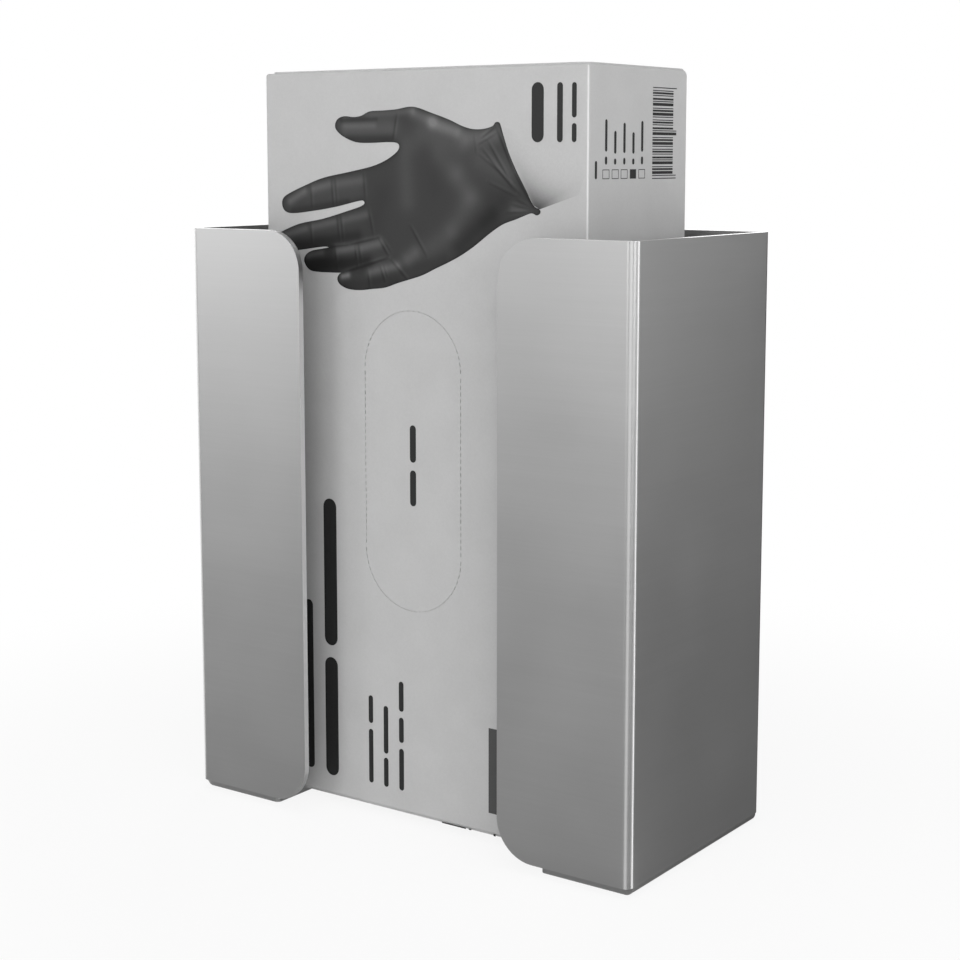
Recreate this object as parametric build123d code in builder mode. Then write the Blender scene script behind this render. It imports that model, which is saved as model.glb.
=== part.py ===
from build123d import *
from math import pi
import os

# Disposable glove dispenser: a wall holder folded from one aluminium sheet, with a sealed
# carton of gloves standing in its pocket. Millimetres. +Z is up, -Y is the open front and
# +Y is the wall. The origin is the middle of the holder's footprint, at the foot of its tabs.

# Sheet and folds
sheet = 2.0                     # thickness of the aluminium
inside_bend = 0.7               # inside radius of every fold

# Holder
holder_width = 170.0            # across the outer faces of the two sides
holder_depth = 82.2             # from the back to the outer faces of the front flanges
holder_height = 190.5
flange_width = 46.7             # from a side's outer face to the flange's free edge
flange_corner = 12.7            # radius of a flange's two free corners
tab_length = 32.5               # from a side's outer face to the tab's free end
tab_corner = 1.6                # radius of a tab's two free corners

# Screw holes in the back
screw_hole = 5.2                # diameter, clear of a 5 mm screw
screw_spacing_across = 110.0
screw_spacing_up = 127.0

# Carton of gloves
carton_width = 124.4
carton_depth = 57.8
carton_height = 238.9
board = 0.5                     # thickness of the carton board
creased_edge = 0.9              # outside radius of the creases round each side panel
end_crease = 1.0                # outside radius where the front panel meets the ends
flap_fold = 2.3                 # outside radius where an end flap folds over from the back panel
flap_inset = 1.0                # from an end flap's cut edges to the carton's faces
flap_corner = 4.0               # radius of an end flap's two free corners
seam_gap = 0.3                  # width and depth of the line along the glued seam
seam_lap = 1.2                  # from the back face to that line, on the left side
carton_to_left = 2.0            # the carton stands this far left of the pocket's middle
carton_to_back = 2.2            # and this far behind it

# Tear-out oval in the carton's front, a line of perforations
oval_width = 37.8
oval_height = 96.0
oval_to_left = 2.4              # the oval's middle, left of the middle of the carton's front
oval_below = 3.5                # and below it
perforation_length = 1.3
perforation_width = 0.35
perforation_depth = 0.3
perforation_pitch = 2.1

# Worked out from the sizes above
outside_bend = inside_bend + sheet
half_width = holder_width / 2
half_depth = holder_depth / 2
side_flat = holder_depth - 2 * outside_bend       # a side's flat stretch, between its upright folds
carton_front = carton_to_back - carton_depth / 2
carton_back = carton_to_back + carton_depth / 2


# ---- Holder ----
with BuildPart() as sheet_holder:
    # Flange, side, back, side and flange are one strip, bent round the pocket. The strip
    # starts where the tabs' folds end.
    with BuildSketch(Plane.XY.offset(outside_bend)):
        with BuildLine():
            strip_outside = FilletPolyline(
                (-half_width + flange_width, -half_depth),
                (-half_width, -half_depth),
                (-half_width, half_depth),
                (half_width, half_depth),
                (half_width, -half_depth),
                (half_width - flange_width, -half_depth),
                radius=outside_bend,
            )
            offset(strip_outside, amount=sheet, side=Side.RIGHT)
        make_face()
    extrude(amount=holder_height - outside_bend)

    # Each flange's free corners are round, so that a hand reaches in past them
    flange_ends = sheet_holder.faces().filter_by(Axis.X).sort_by(Axis.Y)[0:2]
    fillet(flange_ends.edges().filter_by(Axis.Y), radius=flange_corner)

    # A tab folds in below each side's flat stretch and stops short of the upright folds,
    # which leaves an open notch at each lower corner
    with BuildSketch(Plane.XZ.offset(-side_flat / 2)):
        with BuildLine():
            tab_outside = FilletPolyline(
                (half_width, 2 * outside_bend),
                (half_width, 0),
                (half_width - tab_length, 0),
                radius=outside_bend,
            )
            offset(tab_outside, amount=sheet, side=Side.RIGHT)
        make_face()
        mirror(about=Plane.YZ)
    extrude(amount=side_flat)
    tab_ends = sheet_holder.faces().filter_by(Axis.X).sort_by(Axis.Z)[0:2]
    fillet(tab_ends.edges().filter_by(Axis.Z), radius=tab_corner)

    # Screw holes through the back
    wall_face = Plane(origin=(0, half_depth, holder_height / 2), x_dir=(-1, 0, 0), z_dir=(0, 1, 0))
    with Locations(wall_face):
        with GridLocations(screw_spacing_across, screw_spacing_up, 2, 2):
            Hole(screw_hole / 2, depth=sheet)


# ---- Carton of gloves: glued shut, its perforated oval not yet torn out ----
with BuildPart() as glove_carton:
    # The four panels stand between the end flaps, whose board lies over their ends. Where the
    # back panel folds over into a flap, the panels' ends follow the inside of its fold.
    with BuildSketch(Plane.YZ.offset(-carton_to_left)):
        with Locations((carton_to_back, sheet + carton_height / 2)):
            Rectangle(carton_depth, carton_height - 2 * board)
        fillet(vertices().group_by(Axis.X)[-1], radius=flap_fold - board)
        fillet(vertices().group_by(Axis.X)[0], radius=end_crease)
    extrude(amount=carton_width / 2, both=True)
    side_panels = glove_carton.faces().filter_by(Axis.X)
    fillet(side_panels.edges(), radius=creased_edge)

    # An end flap folds over from the back panel and is glued down over each end
    flap_lowest = (sheet, sheet + carton_height - flap_fold)
    with BuildSketch(*(Plane.XY.offset(height) for height in flap_lowest)):
        with Locations((-carton_to_left, carton_back)):
            Rectangle(
                carton_width - 2 * flap_inset,
                carton_depth - flap_inset,
                align=(Align.CENTER, Align.MAX),
            )
        fillet(vertices().group_by(Axis.Y)[0], radius=flap_corner)
    extrude(amount=flap_fold)
    fold_edges = glove_carton.edges().filter_by(Axis.X).group_by(Axis.Y)[-1].sort_by(Axis.Z)
    fillet([fold_edges[0], fold_edges[-1]], radius=flap_fold)

    # The glued seam shows as a fine line up the left side, where the back panel laps it
    with BuildSketch(Plane.XY.offset(sheet + flap_fold)):
        with Locations((-carton_to_left - carton_width / 2, carton_back - seam_lap)):
            Rectangle(2 * seam_gap, seam_gap)
    extrude(amount=carton_height - 2 * flap_fold, mode=Mode.SUBTRACT)

    # Perforations run round the oval: two straight rows, and a half circle at each end
    oval_straight = oval_height - oval_width
    oval_middle = Plane.XZ.offset(-carton_front) * Location(
        (-carton_to_left - oval_to_left, sheet + carton_height / 2 - oval_below)
    )
    row_count = int(oval_straight / perforation_pitch)
    arc_count = int(pi * oval_width / 2 / perforation_pitch)
    arc_step = 180 / arc_count
    with BuildSketch(oval_middle):
        with GridLocations(oval_width, perforation_pitch, 2, row_count):
            Rectangle(perforation_width, perforation_length)
        for end, first_angle in ((1, 0), (-1, 180)):
            with Locations((0, end * oval_straight / 2)):
                with PolarLocations(oval_width / 2, arc_count, first_angle + arc_step / 2, 180):
                    Rectangle(perforation_width, perforation_length)
    extrude(amount=-perforation_depth, mode=Mode.SUBTRACT)


# ---- Named parts ----
os.makedirs("parts", exist_ok=True)
sheet_holder.part.label = "sheet_holder"
export_step(sheet_holder.part, "parts/sheet_holder.step")
glove_carton.part.label = "glove_carton"
export_step(glove_carton.part, "parts/glove_carton.step")
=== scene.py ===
"""Looks of the disposable glove dispenser: a folded satin aluminium holder with a carton of gloves in it.

Blender works in metres and the sizes here are written in millimetres, times MM. +Z is up and -Y is
the open front. A place on the carton's front is given as (across, up): from the front's left edge,
as seen from the front, and from its foot. On the carton's right side it is (back, up): from the
side's front edge and from its foot.
"""

import math

import bmesh
import bpy
import numpy as np
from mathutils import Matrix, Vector


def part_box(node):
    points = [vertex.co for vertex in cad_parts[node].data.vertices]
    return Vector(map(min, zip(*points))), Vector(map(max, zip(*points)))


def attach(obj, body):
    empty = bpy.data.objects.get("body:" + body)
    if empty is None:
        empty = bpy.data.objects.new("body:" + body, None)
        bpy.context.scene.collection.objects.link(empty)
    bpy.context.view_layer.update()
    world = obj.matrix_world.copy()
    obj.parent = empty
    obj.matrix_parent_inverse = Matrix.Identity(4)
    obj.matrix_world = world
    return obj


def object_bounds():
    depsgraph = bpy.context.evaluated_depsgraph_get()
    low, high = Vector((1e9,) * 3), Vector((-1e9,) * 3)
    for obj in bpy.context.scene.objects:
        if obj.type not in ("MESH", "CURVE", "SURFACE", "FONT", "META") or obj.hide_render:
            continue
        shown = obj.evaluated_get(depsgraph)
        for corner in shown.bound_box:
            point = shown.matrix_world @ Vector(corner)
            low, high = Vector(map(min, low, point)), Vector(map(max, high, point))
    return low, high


MM = 0.001
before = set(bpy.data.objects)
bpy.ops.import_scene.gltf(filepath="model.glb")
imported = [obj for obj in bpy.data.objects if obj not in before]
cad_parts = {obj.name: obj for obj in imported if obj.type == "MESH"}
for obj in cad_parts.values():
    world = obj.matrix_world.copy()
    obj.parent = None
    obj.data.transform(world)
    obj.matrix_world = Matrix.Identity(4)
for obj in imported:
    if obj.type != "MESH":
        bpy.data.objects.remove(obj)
cad_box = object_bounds()
carton_low, carton_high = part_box("glove_carton")
holder_low, holder_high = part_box("sheet_holder")

# Ink lies on the board as a plate this thick, half of it sunk in the board
ink_thickness = 0.06 * MM


# ---- Colour and nodes ----

def linear(hex_colour):
    """An sRGB hex colour as the linear RGBA that a shader takes."""
    channels = [int(hex_colour[i:i + 2], 16) / 255 for i in (1, 3, 5)]
    return tuple(c / 12.92 if c <= 0.04045 else ((c + 0.055) / 1.055) ** 2.4 for c in channels) + (1.0,)


def add_node(tree, kind, inputs=None, **settings):
    """Adds a node, gives it its settings, and fills each input with a value or a link."""
    node = tree.nodes.new(kind)
    for name, value in settings.items():
        setattr(node, name, value)
    for socket, value in (inputs or {}).items():
        if isinstance(value, bpy.types.NodeSocket):
            tree.links.new(value, node.inputs[socket])
        else:
            node.inputs[socket].default_value = value
    return node


def new_material(name):
    """An empty material: its node tree, and the output node that its surface goes to."""
    material = bpy.data.materials.new(name)
    material.use_nodes = True
    material.node_tree.nodes.clear()
    return material, material.node_tree, add_node(material.node_tree, "ShaderNodeOutputMaterial")


# ---- Finishes ----

def satin_aluminium():
    """Aluminium sheet, finely brushed across and clear anodised: a grey satin.

    The brushing draws each reflection out upwards and keeps it narrow sideways. Its real lines are
    about 0.05 mm apart, too fine to show, so they are drawn 0.5 mm apart and very faint. The cut edges
    round the flanges are painted near white: uncoated metal with a painted highlight on it. The
    front-facing ends of the foot tabs are painted darker, a painted shade.
    """
    line_spacing = 0.5 * MM
    line_length = 60 * MM
    cloud_size = 35 * MM
    flange_back = holder_low.y + 2.2 * MM
    tab_top = holder_low.z + 2.1 * MM
    material, tree, output = new_material("satin_anodised_aluminium")
    place = add_node(tree, "ShaderNodeTexCoord").outputs["Object"]
    stretched = add_node(tree, "ShaderNodeMapping", {
        "Vector": place, "Scale": (1 / line_length, 1 / line_length, 1 / line_spacing)})
    lines = add_node(tree, "ShaderNodeTexNoise", {
        "Vector": stretched.outputs["Vector"], "Scale": 1.0, "Detail": 2.0, "Roughness": 0.5})
    clouds = add_node(tree, "ShaderNodeTexNoise", {
        "Vector": place, "Scale": 1 / cloud_size, "Detail": 2.0, "Roughness": 0.5})
    both = add_node(tree, "ShaderNodeMath", {
        0: lines.outputs["Fac"], 1: clouds.outputs["Fac"]}, operation="ADD")
    tone = add_node(tree, "ShaderNodeMapRange", {
        "Value": both.outputs["Value"], "From Min": 0.6, "From Max": 1.4, "To Min": 0.0, "To Max": 1.0})
    colour = add_node(tree, "ShaderNodeMix", {
        "Factor": tone.outputs["Result"], "A": linear("#AFAFAF"), "B": linear("#B3B3B3")}, data_type="RGBA")
    where = add_node(tree, "ShaderNodeSeparateXYZ", {0: place}).outputs
    facing = add_node(tree, "ShaderNodeSeparateXYZ", {
        0: add_node(tree, "ShaderNodeNewGeometry").outputs["True Normal"]}).outputs
    frontward = add_node(tree, "ShaderNodeMath", {0: facing["Y"]}, operation="ABSOLUTE")
    on_edge = add_node(tree, "ShaderNodeMath", {0: frontward.outputs["Value"], 1: 0.3}, operation="LESS_THAN")
    in_flange = add_node(tree, "ShaderNodeMath", {0: where["Y"], 1: flange_back}, operation="LESS_THAN")
    cut = add_node(tree, "ShaderNodeMath", {
        0: on_edge.outputs["Value"], 1: in_flange.outputs["Value"]}, operation="MULTIPLY")
    # The cut edges round the flanges are painted near white: a painted highlight on the uncoated metal
    cut_edge_highlight = add_node(tree, "ShaderNodeMix", {
        "Factor": cut.outputs["Value"], "A": colour.outputs["Result"], "B": linear("#F2F2F2"),
    }, data_type="RGBA")
    # The front-facing faces of the foot tabs are painted darker: a painted shade
    to_front = add_node(tree, "ShaderNodeMath", {0: facing["Y"], 1: -0.5}, operation="LESS_THAN")
    at_foot = add_node(tree, "ShaderNodeMath", {0: where["Z"], 1: tab_top}, operation="LESS_THAN")
    tab_end_shade = add_node(tree, "ShaderNodeMath", {
        0: to_front.outputs["Value"], 1: at_foot.outputs["Value"]}, operation="MULTIPLY")
    edge_highlight_and_tab_shade = add_node(tree, "ShaderNodeMix", {
        "Factor": tab_end_shade.outputs["Value"], "A": cut_edge_highlight.outputs["Result"], "B": linear("#A6A6A6"),
    }, data_type="RGBA")
    rough = add_node(tree, "ShaderNodeMapRange", {
        "Value": both.outputs["Value"], "From Min": 0.6, "From Max": 1.4, "To Min": 0.34, "To Max": 0.38})
    relief = add_node(tree, "ShaderNodeBump", {
        "Height": lines.outputs["Fac"], "Strength": 0.02, "Distance": 0.02 * MM})
    around = add_node(tree, "ShaderNodeTangent", direction_type="RADIAL", axis="Z")
    shader = add_node(tree, "ShaderNodeBsdfPrincipled", {
        "Base Color": edge_highlight_and_tab_shade.outputs["Result"], "Metallic": 1.0, "Roughness": rough.outputs["Result"],
        "Anisotropic": 0.6, "Anisotropic Rotation": 0.25, "Tangent": around.outputs["Tangent"],
        "Normal": relief.outputs["Normal"]})
    tree.links.new(shader.outputs["BSDF"], output.inputs["Surface"])
    return material


def coated_board():
    """Carton board, clay coated and matt varnished: an even pale grey with a trace of its fibres.

    Along the upright creases the board is painted lighter: a painted highlight.
    """
    fibre_size = 0.6 * MM
    cloud_size = 14 * MM
    crease_width = 0.45 * MM
    half = (carton_high - carton_low) / 2
    middle = (carton_high + carton_low) / 2
    material, tree, output = new_material("coated_carton_board")
    place = add_node(tree, "ShaderNodeTexCoord").outputs["Object"]
    fibres = add_node(tree, "ShaderNodeTexNoise", {
        "Vector": place, "Scale": 1 / fibre_size, "Detail": 3.0, "Roughness": 0.6})
    clouds = add_node(tree, "ShaderNodeTexNoise", {
        "Vector": place, "Scale": 1 / cloud_size, "Detail": 2.0, "Roughness": 0.5})
    both = add_node(tree, "ShaderNodeMath", {
        0: fibres.outputs["Fac"], 1: clouds.outputs["Fac"]}, operation="ADD")
    tone = add_node(tree, "ShaderNodeMapRange", {
        "Value": both.outputs["Value"], "From Min": 0.7, "From Max": 1.3, "To Min": 0.0, "To Max": 1.0})
    colour = add_node(tree, "ShaderNodeMix", {
        "Factor": tone.outputs["Result"], "A": linear("#BFBFBF"), "B": linear("#C5C5C5")}, data_type="RGBA")
    off_middle = add_node(tree, "ShaderNodeVectorMath", {0: place, 1: middle}, operation="SUBTRACT")
    outward = add_node(tree, "ShaderNodeVectorMath", {0: off_middle.outputs["Vector"]}, operation="ABSOLUTE")
    spread = add_node(tree, "ShaderNodeSeparateXYZ", {0: outward.outputs["Vector"]}).outputs
    near_side = add_node(tree, "ShaderNodeMath", {
        0: spread["X"], 1: half.x - crease_width}, operation="GREATER_THAN")
    near_front = add_node(tree, "ShaderNodeMath", {
        0: spread["Y"], 1: half.y - crease_width}, operation="GREATER_THAN")
    crease_highlight = add_node(tree, "ShaderNodeMath", {
        0: near_side.outputs["Value"], 1: near_front.outputs["Value"]}, operation="MULTIPLY")
    # A painted highlight along the upright creases
    board_with_crease_highlight = add_node(tree, "ShaderNodeMix", {
        "Factor": crease_highlight.outputs["Value"], "A": colour.outputs["Result"], "B": linear("#E2E2E2"),
    }, data_type="RGBA")
    relief = add_node(tree, "ShaderNodeBump", {
        "Height": fibres.outputs["Fac"], "Strength": 0.15, "Distance": 0.02 * MM})
    shader = add_node(tree, "ShaderNodeBsdfPrincipled", {
        "Base Color": board_with_crease_highlight.outputs["Result"], "Roughness": 0.6, "IOR": 1.45, "Specular IOR Level": 0.25,
        "Normal": relief.outputs["Normal"]})
    tree.links.new(shader.outputs["BSDF"], output.inputs["Surface"])
    return material


def plain_ink(name, darker, lighter):
    """Offset ink under the board's matt varnish: one even tone, a little uneven in its cover."""
    speck_size = 0.4 * MM
    material, tree, output = new_material(name)
    place = add_node(tree, "ShaderNodeTexCoord").outputs["Object"]
    specks = add_node(tree, "ShaderNodeTexNoise", {
        "Vector": place, "Scale": 1 / speck_size, "Detail": 2.0, "Roughness": 0.6})
    colour = add_node(tree, "ShaderNodeMix", {
        "Factor": specks.outputs["Fac"], "A": linear(darker), "B": linear(lighter)}, data_type="RGBA")
    shader = add_node(tree, "ShaderNodeBsdfPrincipled", {
        "Base Color": colour.outputs["Result"], "Roughness": 0.6, "IOR": 1.45, "Specular IOR Level": 0.25})
    tree.links.new(shader.outputs["BSDF"], output.inputs["Surface"])
    return material


def picture_ink():
    """Halftone ink of the glove picture: its tones come from the picture's own colour layer.

    The real dots are about 0.15 mm apart, too fine to show, so the specks are drawn at 0.5 mm.
    """
    speck_size = 0.5 * MM
    material, tree, output = new_material("halftone_picture_ink")
    place = add_node(tree, "ShaderNodeTexCoord").outputs["Object"]
    specks = add_node(tree, "ShaderNodeTexNoise", {
        "Vector": place, "Scale": 1 / speck_size, "Detail": 2.0, "Roughness": 0.6})
    tones = add_node(tree, "ShaderNodeVertexColor", layer_name="tone")
    grain = add_node(tree, "ShaderNodeMapRange", {
        "Value": specks.outputs["Fac"], "From Min": 0.2, "From Max": 0.8, "To Min": 0.95, "To Max": 1.05})
    colour = add_node(tree, "ShaderNodeVectorMath", {
        0: tones.outputs["Color"], 1: grain.outputs["Result"]}, operation="MULTIPLY")
    shader = add_node(tree, "ShaderNodeBsdfPrincipled", {
        "Base Color": colour.outputs["Vector"], "Roughness": 0.6, "IOR": 1.45, "Specular IOR Level": 0.25})
    tree.links.new(shader.outputs["BSDF"], output.inputs["Surface"])
    return material


# ---- Print on the carton ----

def on_front(across, up, out=0.0):
    """A point on the carton's front, in metres, out by so much from the board."""
    return Vector((carton_low.x + across * MM, carton_low.y - out, carton_low.z + up * MM))


def on_side(back, up, out=0.0):
    """A point on the carton's right side, in metres, out by so much from the board."""
    return Vector((carton_high.x + out, carton_low.y + back * MM, carton_low.z + up * MM))


def lay_plate(mesh, face, outline):
    """Adds a closed plate of ink with this outline, as (across, up) points, counter-clockwise."""
    top = [mesh.verts.new(face(a, u, ink_thickness / 2)) for a, u in outline]
    foot = [mesh.verts.new(face(a, u, -ink_thickness / 2)) for a, u in outline]
    mesh.faces.new(top)
    mesh.faces.new(foot[::-1])
    for i in range(len(outline)):
        j = (i + 1) % len(outline)
        mesh.faces.new((top[j], top[i], foot[i], foot[j]))


def rounded(left, low, right, high, radius, steps=5):
    """The outline of a rectangle with round corners, counter-clockwise from its lower right."""
    points = []
    corners = ((right, low, -90), (right, high, 0), (left, high, 90), (left, low, 180))
    for corner_a, corner_u, start in corners:
        centre_a = corner_a - math.copysign(radius, corner_a - (left + right) / 2)
        centre_u = corner_u - math.copysign(radius, corner_u - (low + high) / 2)
        for step in range(steps + 1):
            angle = math.radians(start + 90 * step / steps)
            points.append((centre_a + radius * math.cos(angle), centre_u + radius * math.sin(angle)))
    return points


def dress(node, material):
    """Gives a solid of the frame its one material."""
    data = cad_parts[node].data
    data.materials.clear()
    data.materials.append(material)


def print_piece(name, mesh, material):
    """Turns a finished print mesh into a piece on the carton."""
    bmesh.ops.recalc_face_normals(mesh, faces=mesh.faces)
    data = bpy.data.meshes.new(name)
    mesh.to_mesh(data)
    mesh.free()
    piece = bpy.data.objects.new(name, data)
    bpy.context.scene.collection.objects.link(piece)
    data.materials.append(material)
    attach(piece, "root")
    return piece


def word_bars(name, face, lines, material):
    """Round-ended bars, one for each word, that stand where the words would.

    Each line is its left and right, as the letters' foot and top, and the words' ends going up. A bar
    is about half as thick as the letters are tall.
    """
    share = 0.52
    mesh = bmesh.new()
    for left, right, words in lines:
        middle = (left + right) / 2
        radius = share * (right - left) / 2
        for low, high in words:
            lay_plate(mesh, face, rounded(middle - radius, low, middle + radius, high, radius))
    return print_piece(name, mesh, material)


def plain_plates(name, face, plates, material):
    """Plain rectangles, each as (left, low, right, high)."""
    mesh = bmesh.new()
    for left, low, right, high in plates:
        lay_plate(mesh, face, ((left, low), (right, low), (right, high), (left, high)))
    return print_piece(name, mesh, material)


def size_boxes(name, boxes, low, high, line, material):
    """Empty square boxes in a row across the board's side, each as (left, right)."""
    plates = []
    for left, right in boxes:
        plates.append((left, low, right, low + line))
        plates.append((left, high - line, right, high))
        plates.append((left, low + line, left + line, high - line))
        plates.append((right - line, low + line, right, high - line))
    return plain_plates(name, on_side, plates, material)


def stripe_block(name, left, right, low, high, material):
    """A block of plain stripes of mixed widths, with longer ones at its ends and its middle.

    The widths are in units, of a stripe and of the gap after it by turns, and start again when used up.
    """
    widths = (1, 2, 1, 1, 3, 1, 2, 1, 1, 2, 3, 1, 1, 1, 2, 2, 1, 1, 2, 1)
    longer = 2.0
    units = 95
    unit = (high - low) / units
    plates = []
    done = 0
    turn = 0
    while done < units:
        width = min(widths[turn % len(widths)], units - done)
        if turn % 2 == 0:
            at_end = done < 4 or done > units - 5
            at_middle = abs(done - units / 2) < 3
            reach = right + longer * (at_end or at_middle)
            plates.append((left, low + done * unit, reach, low + (done + width) * unit))
        done += width
        turn += 1
    return plain_plates(name, on_side, plates, material)


# ---- Glove picture ----

# The picture's sizes are in mm on the carton's front, from the middle of the palm
palm_middle = (64.2, 200.0)
picture_step = 0.4

# A gloved left hand with its palm to the front, from the thumb's tip round by the cuff and the fingers
glove_outline = (
    # thumb and the ball of the thumb
    (-34.8, 21.5), (-33.8, 23.5), (-31.0, 24.4), (-27.0, 24.1), (-24.0, 24.5), (-20.5, 25.8),
    (-15.0, 26.0), (-10.0, 26.3), (-5.0, 27.0), (-1.5, 26.6), (3.0, 25.2), (10.0, 23.0),
    # cuff
    (15.0, 21.0), (19.0, 20.0), (23.0, 20.0), (26.4, 20.8), (27.4, 21.9), (28.8, 21.9),
    (29.4, 20.9), (30.2, 18.6), (32.3, 13.0), (35.2, 7.4), (38.2, 2.5), (41.2, -2.5),
    (43.4, -3.7), (43.7, -4.8), (42.4, -5.5), (40.6, -4.9), (38.0, -5.7), (35.0, -6.8),
    # edge of the hand
    (30.0, -8.5), (25.0, -11.5), (20.0, -15.0), (15.0, -18.0), (10.0, -20.4), (5.0, -22.5),
    (0.0, -24.7), (-5.0, -26.2), (-10.0, -27.6), (-15.0, -29.2),
    # little finger
    (-20.0, -29.8), (-25.0, -30.4), (-30.0, -30.2), (-33.4, -28.9), (-34.5, -27.0),
    (-33.4, -25.4), (-32.0, -25.1),
    # ring finger
    (-35.0, -25.2), (-42.0, -25.2), (-46.2, -24.6), (-48.4, -22.0), (-47.6, -19.8),
    (-45.0, -18.4), (-41.0, -17.7), (-36.5, -16.9),
    # middle finger
    (-41.0, -17.1), (-50.0, -18.3), (-56.5, -18.9), (-60.0, -17.0), (-60.4, -14.4),
    (-57.5, -12.4), (-50.0, -9.8), (-40.0, -8.0), (-30.0, -5.4), (-25.0, -4.0), (-23.2, -3.1),
    # forefinger
    (-23.2, -2.3), (-25.0, -2.1), (-35.0, -4.2), (-45.0, -5.7), (-53.0, -6.5), (-56.4, -5.8),
    (-57.6, -3.5), (-56.8, -1.4), (-54.0, 0.1), (-48.0, 2.4), (-40.0, 5.0), (-30.0, 6.8),
    (-20.0, 8.7), (-14.0, 10.8),
    # fork between forefinger and thumb
    (-10.0, 13.2), (-9.0, 14.8), (-9.8, 15.9), (-13.0, 16.2), (-20.0, 16.0), (-26.0, 16.2),
    (-31.0, 17.8), (-34.0, 19.8))

# Tones are sRGB levels of 255
glove_tone = 52
board_tone = 194

# Soft lights and shades: a line from one point to another, its width, and how much lighter it is
soft_shapes = (
    # thumb: two long lights with a shade between them
    (-30, 20.3, -13, 20.6, 3.2, 16), (-31, 24.2, -22, 25.0, 0.9, 14), (-20, 25.3, -4, 26.0, 1.5, 20),
    (-31, 21.4, -19, 21.4, 1.1, 12), (-32, 23.0, -18, 23.3, 0.7, -12), (-29, 17.4, -12, 17.4, 1.3, -12),
    # ball of the thumb
    (-3, 25.0, 4, 22.6, 2.0, 22), (4, 22.0, 13, 19.4, 2.2, 34), (0, 19, 14, 15, 4.0, 12),
    (-9, 20, -3, 15, 3.0, 4),
    # palm
    (-7, 14, -6, -2, 3.5, 10), (3, 11, 5, 2, 3.0, -2), (6, 12, 13, 7, 3.5, 9), (13, 6, 18, 0, 3.6, 11),
    (18, -1, 12, -10, 3.6, 10), (10, -12, 3, -16, 3.4, 10), (-3, -18, -6, -20, 2.4, 20),
    (26, -6, 14, -15, 3.2, -14), (30, -2, 24, -8, 3.0, -6), (-16, 0, -20, -12, 4.0, -4),
    (-20, -27.5, 8, -19.5, 2.0, -6),
    # cuff
    (17, 17.5, 27, 18.5, 3.0, 24), (22, 11, 32, 8, 4.5, 12), (34, -3.5, 40, -5, 1.6, 14),
    (26, 0, 36, 0, 3, -4),
    # forefinger: a light along the upper half of each joint and a shade below, as on the others
    (-54, -2.5, -48, 0.6, 1.5, 26), (-44, 1.6, -37.5, 3.0, 1.5, 22), (-33.5, 3.4, -24.5, 4.4, 1.7, 18),
    (-53, -5.6, -30, -2.4, 1.0, -10), (-46, 0, -26, 1.2, 3.0, 6),
    # middle finger
    (-56, -13.6, -47.5, -11.4, 1.3, 18), (-44.3, -10.6, -35.5, -8.9, 1.4, 20),
    (-31.5, -8.2, -22.5, -6.4, 1.4, 18), (-57, -17.2, -26, -13.2, 2.0, -18),
    # ring finger
    (-46.6, -20.0, -41, -18.8, 1.4, 22), (-34, -18.0, -27.5, -17.0, 1.5, 26),
    (-24, -16.8, -17, -15.2, 1.6, 26), (-47, -23.2, -22, -21.4, 2.2, -24), (-44, -19.5, -37, -18.5, 3, -8),
    # little finger
    (-32.3, -26.2, -30, -25.8, 1.1, 44), (-21, -24.3, -10, -22.2, 1.6, 26), (-31, -28.8, -10, -26.8, 1.6, -6))

# Creases: a line, and how deep it is
creases = (
    # thumb
    (-10.0, 25.0, -11.4, 17.2, 16),
    # forefinger
    (-45.2, 2.4, -44.8, -5.0, 12), (-36.6, 4.6, -35.8, -4.0, 16), (-35.0, 4.6, -34.4, -3.6, 10),
    (-23.4, 6.4, -22.8, -1.6, 14),
    # middle finger
    (-45.5, -9.4, -45.0, -16.8, 12), (-34.4, -7.0, -33.4, -15.6, 14), (-32.8, -6.8, -32.0, -15.0, 12),
    (-21.6, -4.4, -19.6, -13.0, 14),
    # ring finger
    (-35.4, -17.0, -34.6, -24.6, 14), (-27.2, -16.0, -26.2, -23.4, 18), (-25.6, -16.0, -24.6, -22.0, 12),
    (-17.6, -13.6, -13.6, -19.2, 26), (-16.0, -14.0, -12.6, -18.0, 12),
    # little finger
    (-22.0, -24.0, -21.2, -29.6, 14), (-17.0, -22.4, -15.0, -27.4, 20), (-15.6, -22.2, -14.2, -26.0, 12),
    (-12.6, -20.4, -5.4, -27.0, 22),
    # palm, and the clefts between the lower fingers
    (-5.0, -9.5, 1.4, -18.8, 18), (-37.0, -17.0, -30.0, -16.3, 20), (-31.0, -16.5, -17.0, -13.6, 20),
    (-32.0, -25.1, -14.0, -20.0, 26),
    # cuff: fans of pulled folds, and the groove behind the rolled rim
    (24.5, 16.4, 32.6, 4.6, 22), (22.4, 14.2, 34.6, 1.4, 22), (22.4, 17.2, 27.4, 20.4, 20),
    (21.0, 15.2, 28.0, 18.6, 14), (25.0, 10.4, 36.6, 0.4, 16), (24.6, 4.0, 36.0, -0.6, 12),
    (21.0, 12.6, 29.0, 7.0, 12), (19.4, 18.6, 20.4, 12.0, 8), (33.0, -2.4, 40.6, -4.0, 14),
    (31.6, -5.0, 40.0, -4.6, 14), (35.0, -1.0, 41.0, -3.6, 12), (27.6, 20.6, 33.8, 7.6, 26),
    (33.8, 7.6, 41.6, -3.8, 22))

# The soft shade that the cuff throws to its right. It lies along the cuff and ends in a sharp foot
cuff_top = (28.8, 21.9)
cuff_foot = (42.6, -3.4)
shade_outline = (
    # along the cuff
    (30.2, 18.6), (32.3, 13.0), (35.2, 7.4), (38.2, 2.5), (41.2, -2.5), (43.4, -3.7),
    # along the sharp foot, and back where it has faded out
    (48.0, -2.2), (57.0, 0.7), (59.0, 6.0), (54.0, 12.5), (46.0, 15.0), (38.0, 15.2), (34.0, 19.5),
    (30.0, 20.5))


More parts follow.
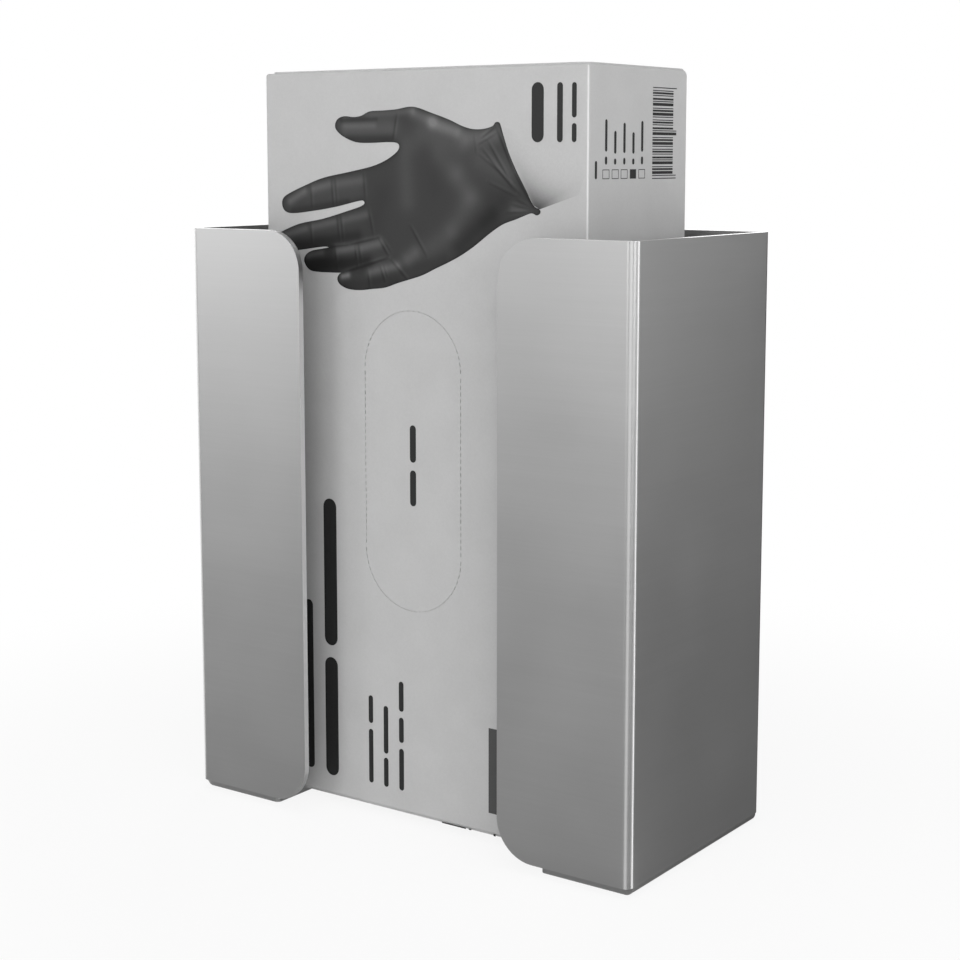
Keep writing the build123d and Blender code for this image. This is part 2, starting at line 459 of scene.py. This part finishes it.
def smooth_ring(points, steps=4):
    """A closed smooth curve through these points, as a list of short straight steps."""
    ring = []
    count = len(points)
    for i in range(count):
        before, start, end, after = (np.array(points[(i + k) % count]) for k in (-1, 0, 1, 2))
        for step in range(steps):
            t = step / steps
            ring.append(tuple(0.5 * (2 * start + (end - before) * t
                                     + (2 * before - 5 * start + 4 * end - after) * t ** 2
                                     + (3 * start - before - 3 * end + after) * t ** 3)))
    return ring


def line_distance(x, z, ax, az, bx, bz):
    """Distance to a line from a to b, the share of it passed, and whether a point is on its left."""
    length = math.dist((ax, az), (bx, bz))
    share = np.clip(((x - ax) * (bx - ax) + (z - az) * (bz - az)) / length ** 2, 0, 1)
    off = np.hypot(x - ax - (bx - ax) * share, z - az - (bz - az) * share)
    left = (x - ax) * (bz - az) < (z - az) * (bx - ax)
    return off, share, left


def ring_distance(x, z, ring):
    """Signed distance to a closed ring of points, negative inside."""
    nearest = np.full(x.shape, np.inf)
    inside = np.zeros(x.shape, bool)
    for (ax, az), (bx, bz) in zip(ring, ring[1:] + ring[:1]):
        nearest = np.minimum(nearest, line_distance(x, z, ax, az, bx, bz)[0])
        if az != bz:
            inside ^= ((az > z) != (bz > z)) & (x < ax + (bx - ax) * (z - az) / (bz - az))
    return np.where(inside, -nearest, nearest)


def glove_tones(x, z, edge):
    """The glove's tone at each point: soft lights and shades, creases, and a dark rim.

    A crease is a dark line that fades out at its ends, with a faint light lip along its left.
    """
    contrast = 1.35
    crease_width = 0.35
    crease_share = 0.7
    lip_share = 0.6
    rim_width = 0.6
    rim_depth = 20
    darkest, lightest = 22, 120
    grey = np.full(x.shape, float(glove_tone))
    for ax, az, bx, bz, width, gain in soft_shapes:
        off = line_distance(x, z, ax, az, bx, bz)[0]
        grey += contrast * gain * np.exp(-(off / width) ** 2)
    for ax, az, bx, bz, depth in creases:
        off, share, left = line_distance(x, z, ax, az, bx, bz)
        faded = contrast * crease_share * depth * np.sin(math.pi * np.clip(share, 0.02, 0.98)) ** 0.5
        grey -= faded * np.exp(-(off / crease_width) ** 2)
        lip = np.exp(-((off - 2.3 * crease_width) / (1.3 * crease_width)) ** 2)
        grey += lip_share * faded * lip * left
    grey -= rim_depth * np.exp(np.minimum(edge, 0) / rim_width)
    return np.clip(grey, darkest, lightest)


def shade_tones(x, z, edge):
    """The cuff shade's tone at each point: darkest at the cuff's foot, and fading out to the board's."""
    depth = 125
    fade_up = 7.5
    reach = 3.0
    more_at_foot = 3.0
    off, share = line_distance(x, z, *cuff_top, *cuff_foot)[:2]
    near_foot = np.exp((share - 1) * math.dist(cuff_top, cuff_foot) / fade_up)
    return board_tone - depth * near_foot * np.exp(-(off / (reach + more_at_foot * near_foot)) ** 1.2)


def close_plate(mesh, layer):
    """Makes an open sheet of picture a closed plate, half sunk in the board, with the same tones."""
    into_board = on_front(0, 0, -ink_thickness) - on_front(0, 0)
    faces = mesh.faces[:]
    rim = [edge for edge in mesh.edges if edge.is_boundary]
    foot = {}
    for vertex in mesh.verts[:]:
        foot[vertex] = mesh.verts.new(vertex.co + into_board)
        foot[vertex][layer] = vertex[layer]
    for face in faces:
        mesh.faces.new([foot[vertex] for vertex in reversed(face.verts)])
    for edge in rim:
        start, end = edge.verts
        mesh.faces.new((start, end, foot[end], foot[start]))


def toned_picture(name, ring, tones, across, up, material):
    """A thin plate on the carton's front in this outline, with its tones kept at its points.

    It is cut from a grid of points, whose reach across and up is given in mm from the palm's middle.
    """
    x, z = np.meshgrid(np.arange(*across, picture_step), np.arange(*up, picture_step))
    edge = ring_distance(x, z, ring)
    grey = tones(x, z, edge) / 255
    light = np.where(grey <= 0.04045, grey / 12.92, ((grey + 0.055) / 1.055) ** 2.4)
    inside = edge < 0
    mesh = bmesh.new()
    layer = mesh.verts.layers.float_color.new("tone")
    made = {}

    def point(a, b):
        """The grid point a, or where the outline crosses from a to b."""
        key = (min(a, b), max(a, b))
        if key not in made:
            share = edge[a] / (edge[a] - edge[b]) if a != b else 0.0
            u, v, tone = (f[a] + (f[b] - f[a]) * share for f in (x, z, light))
            place = on_front(palm_middle[0] + u, palm_middle[1] + v, ink_thickness / 2)
            made[key] = mesh.verts.new(place)
            made[key][layer] = (tone, tone, tone, 1.0)
        return made[key]

    rows, columns = inside.shape
    for row in range(rows - 1):
        for column in range(columns - 1):
            corners = ((row, column), (row, column + 1), (row + 1, column + 1), (row + 1, column))
            points = []
            for a, b in zip(corners, corners[1:] + corners[:1]):
                if inside[a]:
                    points.append(point(a, a))
                if inside[a] != inside[b]:
                    points.append(point(a, b))
            if len(points) > 2:
                mesh.faces.new(points)
    close_plate(mesh, layer)
    return print_piece(name, mesh, material)


# ---- Stage ----

# The floor lies just below the object, then come the cloth and the cards, each a little higher
floor_height = -0.4 * MM
cloth_height = -0.2 * MM
card_height = -0.1 * MM


def stage_plane(name, half, height, material):
    """A level square about the middle of the object, that isn't part of it."""
    corners = ((-half, -half), (half, -half), (half, half), (-half, half))
    data = bpy.data.meshes.new(name)
    data.from_pydata([(x, y, height) for x, y in corners], [], [(0, 1, 2, 3)])
    plane = bpy.data.objects.new(name, data)
    bpy.context.scene.collection.objects.link(plane)
    data.materials.append(material)
    return plane


def seen_share(tree):
    """1 for the rays of the camera, of reflections and of transmission, and 0 for the others."""
    path = add_node(tree, "ShaderNodeLightPath").outputs
    either = add_node(tree, "ShaderNodeMath", {
        0: path["Is Camera Ray"], 1: path["Is Glossy Ray"]}, operation="MAXIMUM")
    return add_node(tree, "ShaderNodeMath", {
        0: either.outputs["Value"], 1: path["Is Transmission Ray"]}, operation="MAXIMUM").outputs["Value"]


def white_floor():
    """A white studio floor. Round the object it keeps a soft part of the object's shadow."""
    shadow_kept = 0.12
    shadow_full = 0.10
    shadow_gone = 0.34
    material, tree, output = new_material("white_floor")
    place = add_node(tree, "ShaderNodeTexCoord").outputs["Object"]
    away = add_node(tree, "ShaderNodeVectorMath", {0: place}, operation="LENGTH")
    whiteness = add_node(tree, "ShaderNodeMapRange", {
        "Value": away.outputs["Value"], "From Min": shadow_full, "From Max": shadow_gone,
        "To Min": 1.0 - shadow_kept, "To Max": 1.0}, interpolation_type="SMOOTHSTEP")
    share = add_node(tree, "ShaderNodeMath", {
        0: seen_share(tree), 1: whiteness.outputs["Result"]}, operation="MULTIPLY")
    lit = add_node(tree, "ShaderNodeBsdfDiffuse", {"Color": linear("#F4F4F4")})
    white = add_node(tree, "ShaderNodeEmission", {"Color": linear("#FFFFFF"), "Strength": 1.0})
    mixed = add_node(tree, "ShaderNodeMixShader", {
        "Fac": share.outputs["Value"], 1: lit.outputs["BSDF"], 2: white.outputs["Emission"]})
    tree.links.new(mixed.outputs["Shader"], output.inputs["Surface"])
    return stage_plane("studio_floor", 6.0, floor_height, material)


def only_reflected(sheet):
    """Leaves a sheet to the reflections: the camera and the light on the object pass it by."""
    sheet.visible_camera = False
    sheet.visible_diffuse = False
    sheet.visible_shadow = False
    sheet.visible_transmission = False
    return sheet


def dark_cloth():
    """A grey cloth over the floor, seen in the metal only, which makes it shade off downwards.

    It is lighter towards the front left and darker towards the back right.
    """
    lighter_azimuth = math.radians(-30)
    lighter_way = (math.sin(lighter_azimuth), -math.cos(lighter_azimuth), 0.0)
    material, tree, output = new_material("dark_cloth")
    place = add_node(tree, "ShaderNodeTexCoord").outputs["Object"]
    along = add_node(tree, "ShaderNodeVectorMath", {0: place, 1: lighter_way}, operation="DOT_PRODUCT")
    strength = add_node(tree, "ShaderNodeMapRange", {
        "Value": along.outputs["Value"], "From Min": -0.10, "From Max": 0.10,
        "To Min": 0.14, "To Max": 0.275}, interpolation_type="SMOOTHSTEP")
    dim = add_node(tree, "ShaderNodeEmission", {
        "Color": linear("#FFFFFF"), "Strength": strength.outputs["Result"]})
    tree.links.new(dim.outputs["Emission"], output.inputs["Surface"])
    return only_reflected(stage_plane("reflection_cloth", 5.0, cloth_height, material))


def card(name, points, tone):
    """A plain card in even light, seen in the metal only, from pairs of points along its length."""
    material, tree, output = new_material(name)
    glow = add_node(tree, "ShaderNodeEmission", {"Color": linear("#FFFFFF"), "Strength": tone})
    tree.links.new(glow.outputs["Emission"], output.inputs["Surface"])
    data = bpy.data.meshes.new(name)
    data.from_pydata(points, [], [(i, i + 1, i + 3, i + 2) for i in range(0, len(points) - 2, 2)])
    data.materials.append(material)
    sheet = bpy.data.objects.new(name, data)
    bpy.context.scene.collection.objects.link(sheet)
    return only_reflected(sheet)


def flag(azimuth_from, azimuth_to, distance, low, high, tone):
    """A curved card that stands round the object, its sizes in metres."""
    steps = 12
    points = []
    for step in range(steps + 1):
        turn = math.radians(azimuth_from + (azimuth_to - azimuth_from) * step / steps)
        for up in (low, high):
            points.append((distance * math.sin(turn), -distance * math.cos(turn), up))
    return card("reflection_flag", points, tone)


def floor_card(corner, azimuth_from, azimuth_to, reach, tone):
    """A fan of pale card on the floor, from just off a corner of the holder."""
    steps = 8
    start = 2 * MM
    points = []
    for step in range(steps + 1):
        turn = math.radians(azimuth_from + (azimuth_to - azimuth_from) * step / steps)
        for out in (start, reach):
            points.append((corner[0] + out * math.sin(turn), corner[1] - out * math.cos(turn), card_height))
    return card("reflection_card", points, tone)


def white_world():
    """White behind the object and in its reflections, and a soft even light on it."""
    soft_light = 0.2
    world = bpy.data.worlds.new("white_surround")
    bpy.context.scene.world = world
    world.use_nodes = True
    tree = world.node_tree
    tree.nodes.clear()
    soft = add_node(tree, "ShaderNodeBackground", {"Color": linear("#FFFFFF"), "Strength": soft_light})
    white = add_node(tree, "ShaderNodeBackground", {"Color": linear("#FFFFFF"), "Strength": 1.0})
    mixed = add_node(tree, "ShaderNodeMixShader", {
        "Fac": seen_share(tree), 1: soft.outputs["Background"], 2: white.outputs["Background"]})
    output = add_node(tree, "ShaderNodeOutputWorld")
    tree.links.new(mixed.outputs["Shader"], output.inputs["Surface"])


def lamp(name, azimuth, height, distance, width, tall, power):
    """A soft box that faces the object. Its azimuth turns from -Y, the front, towards +X.

    Its height, distance and size are in mm, and its power is in watts.
    """
    data = bpy.data.lights.new(name, "AREA")
    data.shape = "RECTANGLE"
    data.size = width * MM
    data.size_y = tall * MM
    data.energy = power
    light = bpy.data.objects.new(name, data)
    bpy.context.scene.collection.objects.link(light)
    turn = math.radians(azimuth)
    light.location = (distance * MM * math.sin(turn), -distance * MM * math.cos(turn), height * MM)
    middle = (cad_box[0] + cad_box[1]) / 2
    light.rotation_euler = (light.location - middle).to_track_quat("Z", "Y").to_euler()
    light.visible_camera = False
    return light


def camera():
    """The camera, level with the carton's top third and to the right of the front."""
    data = bpy.data.cameras.new("camera")
    data.sensor_width = 36.0
    data.lens = 69.91
    data.shift_y = -0.08
    eye = bpy.data.objects.new("camera", data)
    bpy.context.scene.collection.objects.link(eye)
    eye.location = (350.7 * MM, -486.8 * MM, 214.0 * MM)
    eye.rotation_euler = (math.radians(90 - 7.56), 0.0, math.radians(35.56))
    bpy.context.scene.camera = eye


# ---- Build ----

dress("sheet_holder", satin_aluminium())
dress("glove_carton", coated_board())

black = plain_ink("black_printing_ink", "#202020", "#303030")
grey = plain_ink("grey_printing_ink", "#4C4C4C", "#545454")
picture = picture_ink()
# The heading's last line is half behind the left flange
word_bars("printed_heading", on_front, (
    (20.3, 30.8, ((7.0, 47.5), (51.5, 100.8))),
    (12.6, 19.4, ((8.0, 65.8),))), black)
word_bars("printed_notes", on_front, (
    (40.4, 43.9, ((7.8, 26.0), (28.0, 37.3))),
    (46.6, 50.2, ((7.6, 17.4), (18.8, 34.8))),
    (52.9, 56.6, ((7.6, 21.6), (23.6, 32.0), (34.0, 44.0)))), black)
word_bars("printed_opening_note", on_front, (
    (57.7, 62.3, ((102.0, 113.5), (116.0, 127.9))),), black)
word_bars("printed_count", on_front, (
    (102.7, 110.9, ((215.9, 233.4),)),
    (112.7, 116.5, ((215.9, 233.2),)),
    (118.0, 121.1, ((215.9, 221.4), (223.0, 233.1)))), black)
plain_plates("printed_panel", on_front, ((89.3, 7.4, 116.0, 34.9),), grey)
plain_plates("printed_foot_line", on_front, (
    (71.0, 0.2, 80.5, 0.6), (81.6, 0.2, 82.6, 0.6), (91.2, 0.2, 92.0, 0.9)), black)
word_bars("printed_sizes", on_side, (
    (3.1, 5.4, ((205.2, 210.5),)),
    (8.6, 11.0, ((209.4, 211.8), (213.2, 222.6))),
    (13.7, 16.1, ((209.4, 211.2), (212.6, 219.3))),
    (18.9, 21.3, ((209.4, 211.4), (212.8, 221.7))),
    (24.1, 26.5, ((209.4, 211.2), (212.6, 219.0))),
    (29.2, 31.6, ((209.4, 211.8), (213.2, 222.4)))), black)
size_boxes("printed_size_boxes", (
    (7.9, 11.7), (13.1, 16.9), (18.2, 22.0), (28.4, 32.2)), 205.2, 208.0, 0.22, black)
plain_plates("printed_chosen_size", on_side, ((23.4, 205.2, 27.0, 208.0),), black)
stripe_block("printed_stripes", 36.5, 49.0, 205.0, 233.0, black)
toned_picture("printed_glove", smooth_ring(glove_outline), glove_tones, (-62, 46), (-32, 29), picture)
toned_picture("printed_cuff_shade", shade_outline, shade_tones, (29, 60), (-5, 22), picture)

white_world()
white_floor()
dark_cloth()

# The right side reflects a dark flag and the bright one beside it, and so shades off to the back
flag(147, 190, 3.0, 0.0, 2.1, 0.1)
flag(128, 147, 3.0, 0.0, 2.1, 1.9)
# The left flange's fold reflects a bright flag. Two near ones make both flanges grow bright upwards
flag(-140, -66, 3.0, 0.0, 2.1, 2.2)
flag(-64, -40, 0.7, 0.25, 0.60, 2.9)
flag(-40, -22, 0.7, 0.25, 0.60, 1.9)
# Pale cards on the floor give the bright bands down the two front folds
right_fold = (holder_high.x - 2 * MM, holder_low.y + 2 * MM)
left_fold = (holder_low.x + 2 * MM, holder_low.y + 2 * MM)
floor_card(right_fold, 8, 44, 0.6, 0.95)
floor_card(right_fold, 100, 132, 0.6, 1.35)
floor_card(left_fold, -128, -68, 2.8, 1.3)

lamp("left_box", -45, 450, 1300, 300, 900, 1.2)
lamp("front_box", -15, 450, 1300, 500, 500, 2.8)
lamp("front_wide_box", 25, 450, 1300, 900, 900, 4.0)
lamp("high_box", 45, 1000, 1300, 500, 500, 1.8)
lamp("right_box", 69, 450, 1300, 700, 500, 4.4)
lamp("side_box", 110, 300, 1300, 600, 500, 1.8)
lamp("top_box", 20, 1500, 150, 700, 700, 4.0)
lamp("back_box", 205, 600, 1300, 600, 600, 3.0)
camera()
bpy.context.scene.view_settings.view_transform = "Standard"
